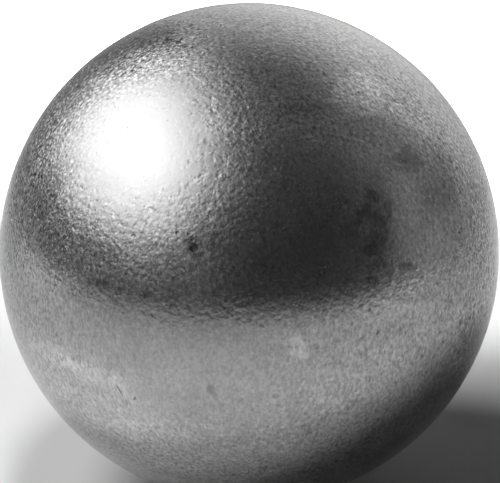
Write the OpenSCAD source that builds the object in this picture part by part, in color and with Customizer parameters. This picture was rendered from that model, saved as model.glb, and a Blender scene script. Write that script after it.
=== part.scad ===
// Solid steel ball with a matt skin and the small dings that knocking about has left in it.
// The origin is the centre of the ball, +Z is up and -Y is its front.

/* [Ball] */
// Diameter of the ball
ball_d = 25; // [10:0.5:50]

/* [Deep pit] */
// Width of the deep pit across its rim
deep_pit_w = 0.45; // [0.3:0.05:0.8]
// Depth of the deep pit below its rim
deep_pit_depth = 0.1; // [0.04:0.01:0.15]

/* [Small pits] */
// Width of a small pit across its rim
small_pit_w = 0.2; // [0.1:0.02:0.3]
// Depth of a small pit below its rim
small_pit_depth = 0.04; // [0.02:0.01:0.05]

/* [Nicks] */
// Length of a nick
nick_l = 0.3; // [0.25:0.05:0.6]
// Width of a nick
nick_w = 0.14; // [0.08:0.02:0.16]
// Depth of a nick below its rim
nick_depth = 0.03; // [0.01:0.01:0.04]

/* [Oval dent] */
// Length of the oval dent
oval_dent_l = 0.7; // [0.6:0.05:1]
// Width of the oval dent
oval_dent_w = 0.35; // [0.2:0.05:0.4]
// Depth of the oval dent below its rim
oval_dent_depth = 0.03; // [0.02:0.01:0.06]

/* [Scratches] */
// Length of the long scratch
long_scratch_l = 0.65; // [0.4:0.05:1.2]
// Length of the short scratch that carries it on
short_scratch_l = 0.35; // [0.25:0.05:0.6]
// Width of both scratches
scratch_w = 0.1; // [0.06:0.02:0.12]
// Depth of both scratches below their rims
scratch_depth = 0.02; // [0.01:0.005:0.03]

/* [Hidden] */

ball_r = ball_d / 2;

// Places on the skin are [bearing, height] in degrees: the bearing turns from the front
// towards +X, and the height rises from the equator. A third number is the turn of a long
// mark, anticlockwise from level as seen from outside.
DEEP_PIT_AT = [-13, 21];
SMALL_PITS_AT = [
    [-14.5, 24], [-17.5, 24], [-13.5, 22.8],   // beside the deep pit
    [-30.5, 8.5], [27.5, 5.5], [25.5, 7],      // round the middle
    [59, 16.5], [57.8, 16], [60, -5],          // on the right
    [-26.5, -29], [-30.5, -32],                // low on the left
    [95, 42]                                   // high on the right
];
NICKS_AT = [
    [-41, 75.5, 135],    // near the top
    [29.5, 0, 80],
    [-27.5, -16.5, 65],
    [90, 39.5, 100]
];
OVAL_DENT_AT = [46, 35.5, -8];
LONG_SCRATCH_AT = [-31.3, -15.2, 116];
SHORT_SCRATCH_AT = [-30, -18.2, 98];

// Curves of the ball and of the tools that dent it
ball_fn = 180;
sweep_fn = 120;
tip_fn = 48;

// Radius of the arc that spans a chord and dips below it
function arc_r(chord, dip) = (chord * chord / 4 + dip * dip) / (2 * dip);

// Stands its children on the axis of a place on the skin, with +X level and +Y up the skin
module on_skin(place) {
    turn = len(place) > 2 ? place[2] : 0;
    rotate([90 - place[1], 0, place[0]]) rotate([0, 0, turn]) children();
}

// Height above the centre of the ball at which a rim of this width lies
function rim_z(width) = sqrt(ball_r * ball_r - width * width / 4);

// Cutter for a round pit at the top of the ball
module round_tool(width, depth) {
    tool_r = arc_r(width, depth);
    translate([0, 0, rim_z(width) - depth + tool_r]) sphere(r = tool_r, $fn = tip_fn);
}

// Cutter for a long mark at the top of the ball: a wheel with a round edge that runs along X
module wheel_tool(length, width, depth) {
    wheel_r = arc_r(length, depth);
    edge_r = arc_r(width, depth);
    translate([0, 0, rim_z(length) - depth + wheel_r])
        rotate([90, 0, 0])
            rotate_extrude($fn = sweep_fn)
                translate([wheel_r - edge_r, 0]) circle(r = edge_r, $fn = tip_fn);
}

module pits() {
    on_skin(DEEP_PIT_AT) round_tool(deep_pit_w, deep_pit_depth);
    for (place = SMALL_PITS_AT)
        on_skin(place) round_tool(small_pit_w, small_pit_depth);
}

module nicks() {
    for (place = NICKS_AT)
        on_skin(place) wheel_tool(nick_l, nick_w, nick_depth);
    on_skin(OVAL_DENT_AT) wheel_tool(oval_dent_l, oval_dent_w, oval_dent_depth);
}

module scratches() {
    on_skin(LONG_SCRATCH_AT) wheel_tool(long_scratch_l, scratch_w, scratch_depth);
    on_skin(SHORT_SCRATCH_AT) wheel_tool(short_scratch_l, scratch_w, scratch_depth);
}

module ball() {
    color([0.5, 0.5, 0.5])
        difference() {
            sphere(r = ball_r, $fn = ball_fn);
            pits();
            nicks();
            scratches();
        }
}

ball();
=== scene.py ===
import math
import bmesh
import bpy
from mathutils import Matrix, Vector


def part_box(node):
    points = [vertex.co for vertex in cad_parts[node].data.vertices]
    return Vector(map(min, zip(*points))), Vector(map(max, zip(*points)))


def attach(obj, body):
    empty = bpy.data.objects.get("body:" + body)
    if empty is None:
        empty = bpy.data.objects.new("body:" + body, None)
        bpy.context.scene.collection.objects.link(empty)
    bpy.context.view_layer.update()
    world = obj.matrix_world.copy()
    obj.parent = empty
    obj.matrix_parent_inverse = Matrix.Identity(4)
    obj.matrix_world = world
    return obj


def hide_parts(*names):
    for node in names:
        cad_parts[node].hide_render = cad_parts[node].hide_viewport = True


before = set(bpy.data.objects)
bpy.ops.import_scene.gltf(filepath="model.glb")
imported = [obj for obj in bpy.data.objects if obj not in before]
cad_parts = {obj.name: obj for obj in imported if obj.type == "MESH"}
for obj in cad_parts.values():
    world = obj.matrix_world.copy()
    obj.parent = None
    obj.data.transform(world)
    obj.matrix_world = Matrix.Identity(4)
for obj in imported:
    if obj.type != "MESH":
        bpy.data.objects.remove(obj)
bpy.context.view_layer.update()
ballLow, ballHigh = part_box("ball")
ballRadius = min(ballHigh - ballLow) / 2
ballCentre = (ballLow + ballHigh) / 2
mm = 0.001
print("frame loaded, ball radius", round(ballRadius / mm, 3), "mm")


def skinDirection(bearing, height):
    # bearing turns from the front towards +X, height rises from the equator, both in degrees
    around, rise = math.radians(bearing), math.radians(height)
    level = math.cos(rise)
    return Vector((math.sin(around) * level, -math.cos(around) * level, math.sin(rise)))


def addObject(name, mesh):
    data = bpy.data.meshes.new(name)
    mesh.to_mesh(data)
    mesh.free()
    thing = bpy.data.objects.new(name, data)
    bpy.context.scene.collection.objects.link(thing)
    return thing


# the camera comes first: the ball nearly fills the picture
cameraSet = {
    "height": 20.5,            # degrees above the horizon
    "distance": 20,            # in ball radii
    "pictureWidth": 500,       # pixels
    "pictureHeight": 483,
    "ballRadiusInPicture": 250.1,
    "ballCentreInPicture": (249.4, 252.5),
    "sensorWidth": 36,         # mm
    "seenFrom": 0.005,         # metres from the camera
    "seenTo": 10,
}


def makeCamera(settings):
    data = bpy.data.cameras.new("camera")
    camera = bpy.data.objects.new("camera", data)
    bpy.context.scene.collection.objects.link(camera)
    away = skinDirection(0, settings["height"])
    sideways = Vector((1, 0, 0))
    upwards = away.cross(sideways)
    # a sphere's outline is a cone that touches it
    coneSlope = math.tan(math.asin(1 / settings["distance"]))
    data.sensor_width = settings["sensorWidth"]
    data.lens = (data.sensor_width * settings["ballRadiusInPicture"]
                 / settings["pictureWidth"] / coneSlope)
    perPixel = ballRadius / settings["ballRadiusInPicture"]
    middle = (settings["pictureWidth"] / 2, settings["pictureHeight"] / 2)
    right = (middle[0] - settings["ballCentreInPicture"][0]) * perPixel
    up = (settings["ballCentreInPicture"][1] - middle[1]) * perPixel
    place = ballCentre + away * ballRadius * settings["distance"]
    aim = ballCentre + sideways * right + upwards * up
    camera.location = place
    camera.rotation_euler = (aim - place).to_track_quat("-Z", "Y").to_euler()
    data.clip_start = settings["seenFrom"]
    data.clip_end = settings["seenTo"]
    bpy.context.scene.camera = camera


makeCamera(cameraSet)
print("camera placed")

ballSet = {
    "subdivisions": 7,
    # round each mark the mesh is made finer once for each of these margins, in mm
    "margins": (0.5, 0.22, 0.09, 0.04),
}

# marks in the skin: length, width and depth in mm, and how much dirt they hold
markSizes = {
    "deepPit": (0.45, 0.45, 0.1, 0.95),
    "smallPit": (0.2, 0.2, 0.04, 0.5),
    "nick": (0.3, 0.14, 0.03, 0.4),
    "ovalDent": (0.7, 0.35, 0.03, 0.1),
    "longScratch": (0.65, 0.1, 0.02, 0.6),
    "shortScratch": (0.35, 0.1, 0.02, 0.35),
}
# where they are: bearing, height and turn of the long side from level, in degrees
markPlaces = {
    "deepPit": [(-13, 21, 0)],
    "smallPit": [(-14.5, 24, 0), (-17.5, 24, 0), (-13.5, 22.8, 0), (-30.5, 8.5, 0),
                 (27.5, 5.5, 0), (25.5, 7, 0), (59, 16.5, 0), (57.8, 16, 0),
                 (60, -5, 0), (-26.5, -29, 0), (-30.5, -32, 0), (95, 42, 0)],
    "nick": [(-41, 75.5, 135), (29.5, 0, 80), (-27.5, -16.5, 65), (90, 39.5, 100)],
    "ovalDent": [(46, 35.5, -8)],
    "longScratch": [(-31.3, -15.2, 116)],
    "shortScratch": [(-30, -18.2, 98)],
}


def skinFrame(bearing, height, turn):
    # along the mark, across it, and outwards
    outwards = skinDirection(bearing, height)
    level = Vector((0, 0, 1)).cross(outwards).normalized()
    along = Matrix.Rotation(math.radians(turn), 3, outwards) @ level
    return along, outwards.cross(along), outwards


def arcRadius(chord, dip):
    # of an arc this long from end to end, and this deep in its middle
    return (chord ** 2 / 4 + dip ** 2) / (2 * dip)


def refineSkin(mesh, spots, margin):
    # edges near a mark are cut in two, and all points go back out onto the sphere
    near = set()
    for outwards, reach in spots:
        middle = outwards * ballRadius
        for vert in mesh.verts:
            if (vert.co - middle).length < reach + margin:
                near.update(vert.link_edges)
    bmesh.ops.subdivide_edges(mesh, edges=list(near), cuts=1, use_grid_fill=True)
    for vert in mesh.verts:
        vert.co = vert.co.normalized() * ballRadius


def pressMark(mesh, dirtLayer, size, place):
    # a round edged tool sinks in: a ball tip for a round mark, a wheel for a long one
    length, width, depth = (value * mm for value in size[:3])
    dirt = size[3]
    along, across, outwards = skinFrame(*place)
    longArc, crossArc = arcRadius(length, depth), arcRadius(width, depth)
    spine = longArc - crossArc
    middle = math.sqrt(ballRadius ** 2 - length ** 2 / 4) - depth + longArc
    for vert in mesh.verts:
        if (vert.co - outwards * ballRadius).length > length:
            continue
        lengthways, sideways = vert.co.dot(along), vert.co.dot(across)
        if abs(sideways) >= crossArc:
            continue
        sweep = spine + math.sqrt(crossArc ** 2 - sideways ** 2)
        if abs(lengthways) < sweep:
            bottom = middle - math.sqrt(sweep ** 2 - lengthways ** 2)
            if bottom < vert.co.dot(outwards):
                vert.co = along * lengthways + across * sideways + outwards * bottom
                vert[dirtLayer] = dirt


def makeBall(settings, sizes, places):
    mesh = bmesh.new()
    bmesh.ops.create_icosphere(mesh, subdivisions=settings["subdivisions"], radius=ballRadius)
    marks = [(sizes[kind], place) for kind in sizes for place in places[kind]]
    spots = [(skinDirection(place[0], place[1]), size[0] / 2 * mm) for size, place in marks]
    for margin in settings["margins"]:
        refineSkin(mesh, spots, margin * mm)
    dirtLayer = mesh.verts.layers.float.new("dirt")
    for size, place in marks:
        pressMark(mesh, dirtLayer, size, place)
    bmesh.ops.triangulate(mesh, faces=mesh.faces[:])
    for face in mesh.faces:
        face.smooth = True
    return addObject("steel_ball", mesh)


def addNode(tree, kind, inputs=None, **options):
    # an input takes a number, a vector or another node's output
    node = tree.nodes.new(kind)
    for option, value in options.items():
        setattr(node, option, value)
    for key, value in (inputs or {}).items():
        if isinstance(value, bpy.types.NodeSocket):
            tree.links.new(value, node.inputs[key])
        else:
            node.inputs[key].default_value = value
    return node


def calculate(tree, operation, *values):
    return addNode(tree, "ShaderNodeMath", dict(enumerate(values)), operation=operation).outputs[0]


def noiseOf(tree, place, size, detail, evenness=0.5):
    # noise around zero; evenness 1 gives every octave the same strength
    field = addNode(tree, "ShaderNodeTexNoise",
                    {"Vector": place, "Scale": 1 / size, "Detail": detail, "Roughness": evenness})
    return calculate(tree, "SUBTRACT", field.outputs[0], 0.5)


steelSet = {
    "colour": 0.42,
    "edgeTint": 0.92,          # how much of its brightness the steel keeps at grazing angles
    "roughness": 0.21,
    "reliefSize": 0.28 * mm,   # the wider of two layers, the next half as wide and half as deep
    "reliefDepth": 0.022 * mm,
    "gritSize": 0.17 * mm,     # sharper grain, where patches add it, with painted glints on its tops and painted shade in its hollows
    "gritDepth": 0.008 * mm,
    "gritGlintAndShade": 1,
    "pebbleSize": 0.18 * mm,   # round bumps, packed side by side
    "pebbleSoftness": 0.6,
    "pebbleDepth": 0.003 * mm,
    "pebbleMiddle": 0.45,      # share of its size at which a pebble turns from light to dark
    # each pebble gets a painted glint on its top and painted shade in the gap round it
    "pebbleGlintAndShade": 0.35,
    "cloudSize": 0.9 * mm,     # faint lighter and darker clouds
    "cloudShade": 0.3,
    "fineSize": 0.16 * mm,     # fine light and dark specks
    "fineShade": 1.45,
    "fineRise": 0.55,          # under 1 they are drawn out upwards
    "streakSize": 0.14 * mm,   # faint upright streaks
    "streakShade": 0.3,
    "streakRise": 0.15,
    "streakTop": -0.1,         # heights in ball radii between which they come in
    "streakFull": -0.5,
    "holeSpacing": 1.1 * mm,   # pinholes
    "holeWidth": 0.07,         # share of the spacing
    "holeShade": 0.4,
    "glintSize": 0.17 * mm,    # smoother and rougher spots
    "glint": 0.3,
    "mottleSize": 1.6 * mm,    # slow changes of tone, gloss and grain together
    "mottleShade": 0.2,
    "mottleRoughness": 0.06,
    "mottleGrain": 0.3,
    "plainGrain": 0.57,        # relief where no patch changes it
    "plainFleck": 1.1,         # specks where no patch changes them
    "plainSoft": 0.75,         # width of a patch's edge, 1 is the patch's own reach
    "raggedSize": 0.4 * mm,
    "ragged": 1.7,             # how far the edge wanders, in the same measure
    "dirtShade": 0.65,         # how much darker and rougher full dirt makes a mark
    "dirtRoughness": 0.45,
}

# a patch changes the skin: at is its bearing and height, size its mm across and up, turn its slope
# shade lightens or darkens it, and grain, grit and fleck add relief, sharp grain and specks
# soft is the width of its edge, where it differs from plainSoft
patchSet = [
    # stain cluster on the front right, with its faint halo
    dict(at=(33, 30), size=(0.95, 0.55), shade=-0.36),
    dict(at=(30.5, 27.5), size=(0.75, 0.5), turn=70, shade=-0.36),
    dict(at=(36.5, 26.5), size=(0.95, 0.45), turn=75, shade=-0.38),
    dict(at=(33.5, 24.5), size=(1.0, 0.75), turn=-30, shade=-0.36),
    dict(at=(28, 26), size=(0.7, 0.5), turn=75, shade=-0.22),
    dict(at=(32, 20.5), size=(1.2, 0.7), turn=10, shade=-0.34),
    dict(at=(29, 18.5), size=(1.3, 0.55), turn=-10, shade=-0.34),
    dict(at=(25.5, 16.5), size=(0.65, 0.5), turn=-10, shade=-0.15),
    dict(at=(31.5, 15.5), size=(0.8, 0.45), turn=-10, shade=-0.3),
    dict(at=(38.5, 13), size=(1, 0.45), turn=-15, shade=-0.42),
    dict(at=(29, 12), size=(0.65, 0.5), turn=-15, shade=-0.32),
    dict(at=(40, 6), size=(2.8, 0.8), turn=-7, shade=-0.25),
    dict(at=(25.5, 24), size=(1.4, 0.9), turn=78, shade=-0.2),
    dict(at=(32, 22), size=(4.6, 2), turn=78, shade=-0.22, soft=1.0),
    # row of small stains on the front left
    dict(at=(-39, 9.5), size=(0.55, 0.35), turn=15, shade=-0.2),
    dict(at=(-35.5, 10), size=(1.05, 0.45), shade=-0.42),
    dict(at=(-30.5, 9), size=(0.45, 0.35), turn=15, shade=-0.42),
    dict(at=(-28.5, 10), size=(0.85, 0.4), turn=5, shade=-0.25),
    dict(at=(-24, 9.5), size=(0.85, 0.4), shade=-0.36),
    # smooth dark oval, and small dark or pale spots
    dict(at=(48.5, 35.5), size=(2.1, 1.3), turn=-6, shade=-0.38, fleck=-0.5),
    dict(at=(52, 27.5), size=(0.5, 0.3), shade=-0.16),
    dict(at=(61.5, 32.5), size=(0.6, 0.3), turn=20, shade=-0.16),
    dict(at=(56, 25.5), size=(0.5, 0.25), shade=-0.14),
    dict(at=(-8, 21.5), size=(0.5, 0.5), shade=-0.25),
    dict(at=(-13.3, 21.3), size=(0.85, 1), shade=-0.42),
    dict(at=(11, -1), size=(1.35, 0.8), turn=-85, shade=0.32),
    dict(at=(-8.8, -11.5), size=(0.5, 0.4), turn=28, shade=-0.3),
    dict(at=(-7.8, -12.8), size=(0.35, 0.28), turn=-48, shade=-0.25),
    dict(at=(6, -13), size=(0.3, 0.3), shade=-0.25),
    # bright scuffs
    dict(at=(13, 48.5), size=(0.7, 0.14), turn=5, shade=0.4),
    dict(at=(17, 43.5), size=(0.3, 0.14), shade=0.4),
    dict(at=(25.3, 42.6), size=(0.22, 0.17), turn=14, shade=0.6),
    dict(at=(23, 44.3), size=(1.2, 0.13), turn=-17, shade=0.3),
    dict(at=(18.5, 46), size=(0.6, 0.12), shade=0.3),
    dict(at=(35.5, 43), size=(1.5, 0.15), turn=-39, shade=0.2),
    # paler area on the lower left, with a still paler border
    dict(at=(-41, -18.5), size=(8.2, 5), turn=-9, shade=0.12, soft=0.3),
    dict(at=(-52, -11.5), size=(3.7, 1.1), shade=0.17, soft=0.6),
    dict(at=(-38.5, -12.5), size=(3, 1.1), turn=-4, shade=0.19, soft=0.6),
    dict(at=(-30, -14.5), size=(1.6, 0.8), turn=-60, shade=0.14),
    # paler skin: partly worn spots, partly painted highlight and painted reflection where the lamps
    # fell short
    # painted reflection of a bright panel on the upper right
    dict(at=(46.5, 54), size=(3.3, 2.5), shade=0.62, grit=0.6, soft=1.0),
    dict(at=(59, 44), size=(3, 1.2), turn=-52, shade=0.24, grit=0.5, soft=0.4),
    dict(at=(65, 17), size=(2.6, 2.8), shade=0.17, soft=1.0),
    dict(at=(40.5, 27), size=(3.8, 1.9), turn=65, shade=0.16),
    dict(at=(16, 4.5), size=(5.5, 2.4), shade=0.12, soft=1.2),
    dict(at=(-12.5, 49), size=(1.4, 1.2), shade=0.15, soft=1.0),
    # painted highlight round the key lamp's reflection
    dict(at=(-38, 66), size=(3, 1.5), turn=10, shade=0.17, soft=1.0),
    dict(at=(-91, 36), size=(4.4, 4), shade=0.38),
    dict(at=(-41, 12.5), size=(2.2, 1.8), shade=0.18, soft=1.0),
    dict(at=(-40, 27), size=(3, 1.6), shade=0.13, soft=1.0),
    dict(at=(-22, 24.5), size=(1.7, 1.2), shade=0.16, soft=1.0),
    dict(at=(-29.5, -32), size=(2.6, 1.8), shade=0.12, soft=1.0),
    # darker skin: partly stains, partly painted shade standing in for the mirrored floor's shadow and
    # the darker room
    # painted reflection of the darker room on the right
    dict(at=(23.5, 53), size=(3, 1), turn=-8, shade=-0.18, soft=1.0),
    dict(at=(42, 44), size=(3.7, 1.8), turn=-30, shade=-0.14),
    dict(at=(57, 26), size=(3.1, 1.7), turn=27, shade=-0.15, soft=1.0),
    dict(at=(57, 29), size=(4.6, 2.4), turn=35, shade=-0.16),
    dict(at=(84, 46), size=(5, 5), shade=-0.12, soft=1.2),
    # painted reflection of the floor's shadow along the lower right rim
    dict(at=(68, -13.5), size=(5, 2.8), turn=-30, shade=-0.5, soft=1.0),
    dict(at=(57, -9.8), size=(3.2, 1.4), turn=-28, shade=-0.25, soft=1.0),
    dict(at=(49, -12.5), size=(4.5, 1.8), turn=-28, shade=-0.2, soft=1.0),
    dict(at=(42, -42), size=(5, 1.5), turn=-28, shade=-0.22, soft=1.0),
    dict(at=(46.5, -37), size=(2.4, 1.8), turn=-30, shade=-0.28, soft=1.0),
    # darker towards the bottom: painted reflection of the shadow under the ball
    dict(at=(-4, -18.5), size=(8, 2.6), shade=-0.12, soft=1.2),
    dict(at=(-23, -43), size=(4, 1.2), shade=-0.12, soft=1.0),
    dict(at=(-56, -28.5), size=(5.5, 1.8), turn=8, shade=-0.2, soft=1.0),
    # painted shade round the key lamp's reflection
    dict(at=(-36.5, 18), size=(2.9, 0.9), turn=-4, shade=-0.2),
    dict(at=(-54.5, 20), size=(2.8, 2.2), turn=-25, shade=-0.32, soft=1.0),
    dict(at=(-62, 25), size=(2.2, 3), turn=-30, shade=-0.37, soft=1.0),
    dict(at=(-97, 60), size=(5.6, 3), turn=5, shade=-0.43),
    dict(at=(-88, 68), size=(3.4, 2.4), turn=-10, shade=-0.3, soft=1.0),
    dict(at=(-75, 68.5), size=(3.2, 2.4), turn=5, shade=-0.27, soft=1.0),
    # coarser or smoother grain
    dict(at=(-36, 40), size=(16, 13), turn=-20, grain=0.7, grit=1.3, soft=1.0),
    dict(at=(-70, 33), size=(9, 15), grain=0.1, grit=1.8, soft=0.8),
    dict(at=(-41, 44.5), size=(9, 7), turn=-15, grain=-0.8, grit=-1.8, fleck=-0.8),
    dict(at=(-38, 41), size=(9.6, 7.6), turn=-15, grain=-0.2, grit=-0.5, fleck=-0.3),
    dict(at=(-78, 40), size=(5, 17), grit=1.4, fleck=0.5),
    dict(at=(-74, 66), size=(7, 4.5), turn=-20, grit=1.1, fleck=0.4),
    dict(at=(15, 60), size=(9, 6), grit=0.2, soft=1.0),
    dict(at=(56, 24), size=(13, 15), grain=0.5, grit=0.6, fleck=-0.1, soft=1.0),
    dict(at=(78, 18), size=(6, 18), grit=1, fleck=0.4, soft=1.0),
    dict(at=(66, -4), size=(5.5, 8), turn=-20, grain=0.6, grit=0.9, fleck=0.3, soft=1.2),
    dict(at=(16, 26), size=(9.5, 7.5), grain=-0.42, fleck=-0.7, soft=0.9),
    dict(at=(-12, 11), size=(14, 3.2), grain=-0.13, soft=1.2),
    dict(at=(-16, -7), size=(13, 8), fleck=-0.65, soft=1.2),
    # coarser grain along the bottom, darkened there with painted reflection of the shadow under the
    # ball
    dict(at=(-8, -40), size=(12, 3), grain=0.6, shade=-0.1, soft=1.0),
]

# a patch's glow is 1 in its middle and falls evenly to 0 at this many times its own reach
patchFall = 3


def patchMask(tree, place, edge, patch, plainSoft):
    # 1 inside the patch, fading to 0 over a ragged edge
    bearing, height = patch["at"]
    standing = (Matrix.Rotation(math.radians(bearing), 3, "Z")
                @ Matrix.Rotation(math.radians(90 - height), 3, "X")
                @ Matrix.Rotation(math.radians(patch.get("turn", 0)), 3, "Z"))
    across, tall = patch["size"]
    local = addNode(tree, "ShaderNodeMapping", {
        "Vector": place,
        "Location": skinDirection(bearing, height) * ballRadius,
        "Rotation": standing.to_euler(),
        "Scale": Vector((across * mm / 2, tall * mm / 2, ballRadius)) * patchFall,
    }, vector_type="TEXTURE")
    glow = addNode(tree, "ShaderNodeTexGradient", {"Vector": local.outputs[0]},
                   gradient_type="SPHERICAL")
    rough = calculate(tree, "ADD", glow.outputs["Fac"], edge)
    soft = patch.get("soft", plainSoft) / 2
    fade = addNode(tree, "ShaderNodeMapRange", {
        "Value": rough,
        "From Min": 1 - (1 + soft) / patchFall,
        "From Max": 1 - (1 - soft) / patchFall,
    }, interpolation_type="SMOOTHSTEP")
    return fade.outputs["Result"]


def layPatches(tree, place, mottle, settings, patches):
    # the shades multiply together: real stains, with painted shade, painted highlight and painted
    # reflection among them; the others start plain and add up
    edge = calculate(tree, "MULTIPLY", noiseOf(tree, place, settings["raggedSize"], detail=2),
                     -settings["ragged"] / patchFall)
    stainAndPaintedLight = 1
    grain = calculate(tree, "MULTIPLY_ADD", mottle, settings["mottleGrain"], settings["plainGrain"])
    grit = 0
    fleck = calculate(tree, "MULTIPLY_ADD", mottle, settings["mottleGrain"], settings["plainFleck"])
    for patch in patches:
        mask = patchMask(tree, place, edge, patch, settings["plainSoft"])
        if "shade" in patch:
            share = calculate(tree, "MULTIPLY_ADD", mask, patch["shade"], 1)
            stainAndPaintedLight = calculate(tree, "MULTIPLY", share, stainAndPaintedLight)
        if "grain" in patch:
            grain = calculate(tree, "MULTIPLY_ADD", mask, patch["grain"], grain)
        if "grit" in patch:
            grit = calculate(tree, "MULTIPLY_ADD", mask, patch["grit"], grit)
        if "fleck" in patch:
            fleck = calculate(tree, "MULTIPLY_ADD", mask, patch["fleck"], fleck)
    return stainAndPaintedLight, grain, grit, fleck


def drawnOut(tree, place, rise):
    # a pattern that reads this place is drawn out upwards where rise is under 1
    return addNode(tree, "ShaderNodeVectorMath", {0: place, 1: (1, 1, rise)},
                   operation="MULTIPLY").outputs[0]


def specksAndPebbleGlints(tree, place, pebble, settings):
    # faint clouds, fine specks, and painted glints on the pebble tops with painted shade in the gaps
    # between them
    clouds = calculate(tree, "MULTIPLY",
                       noiseOf(tree, place, settings["cloudSize"], detail=2, evenness=1),
                       settings["cloudShade"])
    upright = drawnOut(tree, place, settings["fineRise"])
    fine = calculate(tree, "MULTIPLY",
                     noiseOf(tree, upright, settings["fineSize"], detail=1, evenness=0.9),
                     settings["fineShade"])
    tops = calculate(tree, "SUBTRACT", settings["pebbleMiddle"], pebble)
    paintedPebbleLight = calculate(tree, "MULTIPLY", tops, settings["pebbleGlintAndShade"])
    return calculate(tree, "ADD", calculate(tree, "ADD", clouds, fine), paintedPebbleLight)


def skinStreaks(tree, place, settings):
    # faint upright streaks, on the lower half only
    upright = drawnOut(tree, place, settings["streakRise"])
    streak = calculate(tree, "MULTIPLY", noiseOf(tree, upright, settings["streakSize"], detail=0),
                       settings["streakShade"])
    upward = addNode(tree, "ShaderNodeSeparateXYZ", {0: place}).outputs["Z"]
    low = addNode(tree, "ShaderNodeMapRange", {
        "Value": upward,
        "From Min": settings["streakTop"] * ballRadius,
        "From Max": settings["streakFull"] * ballRadius,
    }).outputs["Result"]
    return calculate(tree, "MULTIPLY", streak, low)


def skinHoles(tree, place, settings):
    # a pinhole here and there
    cells = addNode(tree, "ShaderNodeTexVoronoi",
                    {"Vector": place, "Scale": 1 / settings["holeSpacing"]})
    return addNode(tree, "ShaderNodeMapRange", {
        "Value": cells.outputs["Distance"],
        "From Min": settings["holeWidth"],
        "From Max": 0,
        "To Max": -settings["holeShade"],
    }).outputs["Result"]


def makeSteel(settings, patches):
    steel = bpy.data.materials.new("bareSteel")
    steel.use_nodes = True
    tree = steel.node_tree
    shader = tree.nodes["Principled BSDF"]
    place = addNode(tree, "ShaderNodeTexCoord").outputs["Object"]
    mottle = noiseOf(tree, place, settings["mottleSize"], detail=2)
    pebble = addNode(tree, "ShaderNodeTexVoronoi", {
        "Vector": place,
        "Scale": 1 / settings["pebbleSize"],
        "Smoothness": settings["pebbleSoftness"],
    }, feature="SMOOTH_F1").outputs["Distance"]
    stainAndPaintedLight, grain, grit, fleck = layPatches(tree, place, mottle, settings, patches)
    sharp = calculate(tree, "MULTIPLY",
                      noiseOf(tree, place, settings["gritSize"], detail=1, evenness=0.6),
                      calculate(tree, "MAXIMUM", grit, 0))
    dirt = addNode(tree, "ShaderNodeAttribute", attribute_name="dirt").outputs["Fac"]

    shade = calculate(tree, "MULTIPLY_ADD", specksAndPebbleGlints(tree, place, pebble, settings), fleck, 1)
    # the grit's tops get a painted glint and its hollows painted shade
    shade = calculate(tree, "MULTIPLY_ADD", sharp, settings["gritGlintAndShade"], shade)
    shade = calculate(tree, "ADD", skinStreaks(tree, place, settings), shade)
    shade = calculate(tree, "MULTIPLY_ADD", mottle, settings["mottleShade"], shade)
    shade = calculate(tree, "ADD", skinHoles(tree, place, settings), shade)
    # the patches' stains and painted shade, highlight and reflection go into the colour here
    shade = calculate(tree, "MULTIPLY", shade, stainAndPaintedLight)
    clean = calculate(tree, "MULTIPLY_ADD", dirt, -settings["dirtShade"], 1)
    shade = calculate(tree, "MULTIPLY", shade, clean)
    colour = addNode(tree, "ShaderNodeVectorMath", {0: (settings["colour"],) * 3, "Scale": shade},
                     operation="SCALE")
    tree.links.new(colour.outputs[0], shader.inputs["Base Color"])

    gloss = calculate(tree, "MULTIPLY_ADD", mottle, settings["mottleRoughness"], settings["roughness"])
    glint = calculate(tree, "MULTIPLY",
                      noiseOf(tree, place, settings["glintSize"], detail=1, evenness=1),
                      settings["glint"])
    gloss = calculate(tree, "MULTIPLY_ADD", glint, grain, gloss)
    gloss = calculate(tree, "MULTIPLY_ADD", dirt, settings["dirtRoughness"], gloss)
    tree.links.new(gloss, shader.inputs["Roughness"])

    height = calculate(tree, "MULTIPLY", noiseOf(tree, place, settings["reliefSize"], detail=1),
                       settings["reliefDepth"])
    height = calculate(tree, "MULTIPLY_ADD", sharp, settings["gritDepth"], height)
    height = calculate(tree, "MULTIPLY_ADD", pebble, -settings["pebbleDepth"], height)
    # heights are in metres already, so the distance is 1
    bump = addNode(tree, "ShaderNodeBump", {"Height": height, "Distance": 1, "Strength": grain})
    tree.links.new(bump.outputs["Normal"], shader.inputs["Normal"])
    shader.inputs["Metallic"].default_value = 1
    shader.inputs["Specular Tint"].default_value = (settings["edgeTint"],) * 3 + (1,)
    return steel


ball = makeBall(ballSet, markSizes, markPlaces)
ball.data.materials.append(makeSteel(steelSet, patchSet))
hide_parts("ball")
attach(ball, "root")
print("ball made,", len(ball.data.polygons), "triangles")

studioSet = {
    "floorRadius": 20,         # of the part that the steel mirrors, in ball radii
    "outerRadius": 1.2,        # of the whole floor, in metres
    "outerDrop": 0.00001,      # metres by which the whole floor lies lower
    "floorColour": (0.9, 0.9, 0.9, 1),
    "mirrorFade": (0.02, 0.21),    # slopes down to the floor between which its mirror image fades in
    "mirrorMiddle": (0.3, 0),      # the middle of the lit floor, in ball radii
    "discSides": 96,
    "roomTone": 0.04,
    "roomRadius": 1.5,
    "roomSubdivisions": 4,
}


def glowMaterial(name, tone):
    glow = bpy.data.materials.new(name)
    glow.use_nodes = True
    nodes = glow.node_tree.nodes
    nodes.remove(nodes["Principled BSDF"])
    shine = nodes.new("ShaderNodeEmission")
    shine.inputs["Strength"].default_value = tone
    glow.node_tree.links.new(shine.outputs[0], nodes["Material Output"].inputs["Surface"])
    return glow


def floorMaterial(settings):
    paper = bpy.data.materials.new("palePaper")
    paper.use_nodes = True
    shader = paper.node_tree.nodes["Principled BSDF"]
    shader.inputs["Base Color"].default_value = settings["floorColour"]
    shader.inputs["Roughness"].default_value = 1
    shader.inputs["Specular IOR Level"].default_value = 0
    return paper


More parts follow.
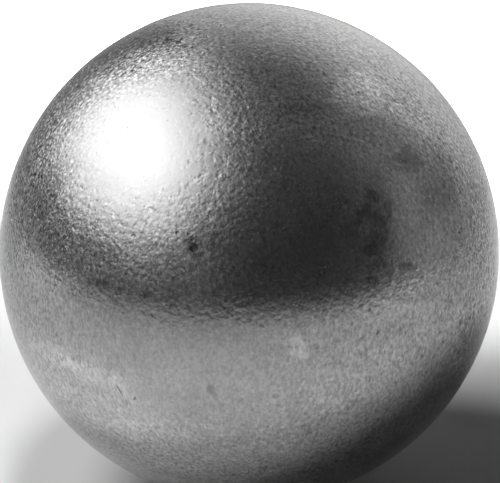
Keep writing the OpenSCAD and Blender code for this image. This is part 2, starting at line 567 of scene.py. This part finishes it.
def fadeInMirror(paper, settings):
    # the steel sees the floor end softly, as a lit table does in a dark room
    tree = paper.node_tree
    place = addNode(tree, "ShaderNodeTexCoord").outputs["Object"]
    middle = Vector(settings["mirrorMiddle"] + (0,)) * ballRadius
    level = addNode(tree, "ShaderNodeVectorMath", {0: place, 1: (1, 1, 0), 2: -middle},
                    operation="MULTIPLY_ADD")
    reach = addNode(tree, "ShaderNodeVectorMath", {0: level.outputs[0]}, operation="LENGTH")
    slope = calculate(tree, "DIVIDE", ballRadius, reach.outputs["Value"])
    far, near = settings["mirrorFade"]
    gone = addNode(tree, "ShaderNodeMapRange", {"Value": slope, "From Min": near, "From Max": far},
                   interpolation_type="SMOOTHSTEP").outputs["Result"]
    mirrored = addNode(tree, "ShaderNodeLightPath").outputs["Is Glossy Ray"]
    clear = addNode(tree, "ShaderNodeBsdfTransparent")
    both = addNode(tree, "ShaderNodeMixShader", {
        0: calculate(tree, "MULTIPLY", gone, mirrored),
        1: tree.nodes["Principled BSDF"].outputs[0],
        2: clear.outputs[0],
    })
    tree.links.new(both.outputs[0], tree.nodes["Material Output"].inputs["Surface"])


def addDisc(name, radius, height, sides, paper):
    mesh = bmesh.new()
    bmesh.ops.create_circle(mesh, cap_ends=True, segments=sides, radius=radius)
    bmesh.ops.translate(mesh, verts=mesh.verts, vec=(0, 0, height))
    disc = addObject(name, mesh)
    disc.data.materials.append(paper)
    return disc


def makeFloor(settings):
    paper = floorMaterial(settings)
    fadeInMirror(paper, settings)
    sides = settings["discSides"]
    addDisc("floor", settings["floorRadius"] * ballRadius, ballLow.z, sides, paper)
    outerHeight = ballLow.z - settings["outerDrop"]
    outer = addDisc("outerFloor", settings["outerRadius"], outerHeight, sides, paper)
    outer.visible_glossy = False


def makeRoom(settings):
    mesh = bmesh.new()
    bmesh.ops.create_icosphere(mesh, subdivisions=settings["roomSubdivisions"],
                               radius=settings["roomRadius"])
    room = addObject("room", mesh)
    room.data.materials.append(glowMaterial("roomGlow", settings["roomTone"]))
    room.visible_camera = False
    room.visible_shadow = False


def softGlow(name, settings):
    glow = glowMaterial(name + "Glow", 1)
    tree = glow.node_tree
    stretch = settings.get("stretch", 1)
    place = addNode(tree, "ShaderNodeTexCoord").outputs["Object"]
    even = addNode(tree, "ShaderNodeVectorMath", {0: place, 1: (1 / stretch, stretch, 1)},
                   operation="MULTIPLY")
    reach = addNode(tree, "ShaderNodeVectorMath", {0: even.outputs[0]}, operation="LENGTH")
    slope = calculate(tree, "DIVIDE", reach.outputs["Value"], settings["distance"])
    angle = calculate(tree, "ARCTANGENT", slope)
    share = calculate(tree, "DIVIDE", angle, math.radians(settings["spread"]))
    steep = calculate(tree, "POWER", share, settings.get("flatness", 2))
    fall = calculate(tree, "EXPONENT", calculate(tree, "MULTIPLY", steep, -1))
    power = calculate(tree, "MULTIPLY", fall, settings["tone"])
    shine = tree.nodes["Emission"]
    tree.links.new(power, shine.inputs["Strength"])
    clear = addNode(tree, "ShaderNodeBsdfTransparent")
    both = addNode(tree, "ShaderNodeAddShader", {0: shine.outputs[0], 1: clear.outputs[0]})
    tree.links.new(both.outputs[0], tree.nodes["Material Output"].inputs["Surface"])
    return glow


# what the steel mirrors: soft lamps whose glow fades from the middle
# spread is where the glow has fallen to a third, in degrees as the ball sees it
# distance is in metres, turn in degrees, and a flatter lamp stays bright further out
lampSet = {
    "keyLamp": {"bearing": -97.7, "height": 44, "turn": 17.2, "distance": 0.5, "spread": 35.6,
                "tone": 2.55, "stretch": 1.36, "flatness": 2.95},
    "keyLampSkirt": {"bearing": -61, "height": 67, "distance": 0.66, "spread": 42, "tone": 0.1},
    "keyLampFoot": {"bearing": -58, "height": 25, "distance": 0.58, "spread": 18.4, "tone": 0.515},
    "backLamp": {"bearing": 160, "height": 17.2, "distance": 0.6, "spread": 33, "tone": 0.98,
                 "flatness": 2.8},
    "topRimCard": {"bearing": 175, "height": 2, "distance": 0.7, "spread": 14, "tone": 0.26},
    "rightCard": {"bearing": 107, "height": 41.5, "distance": 0.64, "spread": 25, "tone": 0.205},
    "lowRightCard": {"bearing": 93, "height": -2.7, "distance": 0.68, "spread": 27, "tone": 0.3},
    "lowLeftCard": {"bearing": -116.5, "height": -5.7, "distance": 0.72, "spread": 18, "tone": 0.12},
    "leftRimCard": {"bearing": -143, "height": -5, "distance": 0.72, "spread": 18, "tone": 0.16},
    "frontCard": {"bearing": -27, "height": 12.7, "distance": 0.75, "spread": 15.3, "tone": 0.123},
}
# each is a disc that reaches out to this many times its spread, up to a widest angle in degrees
lampDisc = {"reach": 2, "widest": 65, "sides": 48}


def addSoftLamp(name, settings, disc):
    distance = settings["distance"]
    mesh = bmesh.new()
    edge = math.radians(min(settings["spread"] * disc["reach"], disc["widest"]))
    bmesh.ops.create_circle(mesh, cap_ends=True, segments=disc["sides"],
                            radius=distance * math.tan(edge) * settings.get("stretch", 1))
    lamp = addObject(name, mesh)
    lamp.data.materials.append(softGlow(name, settings))
    away = skinDirection(settings["bearing"], settings["height"])
    level = Vector((0, 0, 1)).cross(away).normalized()
    along = Matrix.Rotation(math.radians(settings.get("turn", 0)), 3, away) @ level
    lamp.matrix_world = Matrix((along, away.cross(along), away)).transposed().to_4x4()
    lamp.location = away * distance
    lamp.visible_camera = False
    lamp.visible_diffuse = False
    lamp.visible_shadow = False


# what lights the floor: the steel does not mirror these
# distances, sizes and aims are in ball radii, and strength is what reaches the aim
sunSet = {
    "bearing": -82,
    "height": 53.8,
    "spread": 34,              # degrees across
    "strength": 1.77,
}
floorLampSet = {
    "nearLamp": {"bearing": -70, "height": 70, "distance": 3.15, "aim": (0, 0),
                 "wide": 1, "tall": 0.4, "spread": 180, "strength": 2.35},
    "farLamp": {"bearing": 180, "height": 55, "distance": 12, "aim": (0.4, 5.5),
                "wide": 3, "tall": 3, "spread": 30, "strength": 1.28},
    "leftLamp": {"bearing": -90, "height": 55, "distance": 12, "aim": (-6.5, 1),
                 "wide": 2, "tall": 2, "spread": 36, "strength": 0.08},
    "rightLamp": {"bearing": 80, "height": 55, "distance": 12, "aim": (7, -3),
                  "wide": 2, "tall": 2, "spread": 36, "strength": 0.12},
}


def addLight(name, kind, place, aim):
    data = bpy.data.lights.new(name, kind)
    light = bpy.data.objects.new(name, data)
    bpy.context.scene.collection.objects.link(light)
    light.location = place
    light.rotation_euler = (place - aim).to_track_quat("Z", "Y").to_euler()
    light.visible_glossy = False
    return data


def addFloorSun(settings):
    place = skinDirection(settings["bearing"], settings["height"])
    sun = addLight("floorSun", "SUN", place, Vector((0, 0, 0)))
    sun.energy = settings["strength"]
    sun.angle = math.radians(settings["spread"])


def addFloorLamp(name, settings):
    reach = settings["distance"] * ballRadius
    place = skinDirection(settings["bearing"], settings["height"]) * reach
    aim = Vector(settings["aim"] + (0,)) * ballRadius
    if aim.length > 0:         # one that is not aimed at the ball lights the floor there
        aim.z = ballLow.z
    lamp = addLight(name, "AREA", place, aim)
    lamp.shape = "RECTANGLE"
    lamp.size = settings["wide"] * ballRadius
    lamp.size_y = settings["tall"] * ballRadius
    lamp.spread = math.radians(settings["spread"])
    lamp.energy = settings["strength"] * math.pi * (place - aim).length ** 2


makeFloor(studioSet)
makeRoom(studioSet)
for lampName, lampSettings in lampSet.items():
    addSoftLamp(lampName, lampSettings, lampDisc)
addFloorSun(sunSet)
for lampName, lampSettings in floorLampSet.items():
    addFloorLamp(lampName, lampSettings)
print("floor, room and", len(lampSet) + len(floorLampSet) + 1, "lamps placed")

# white wherever the camera looks past the floor
world = bpy.data.worlds.new("whiteBeyond")
world.use_nodes = True
world.node_tree.nodes["Background"].inputs["Color"].default_value = (1, 1, 1, 1)
bpy.context.scene.world = world
bpy.context.scene.view_settings.view_transform = "Standard"
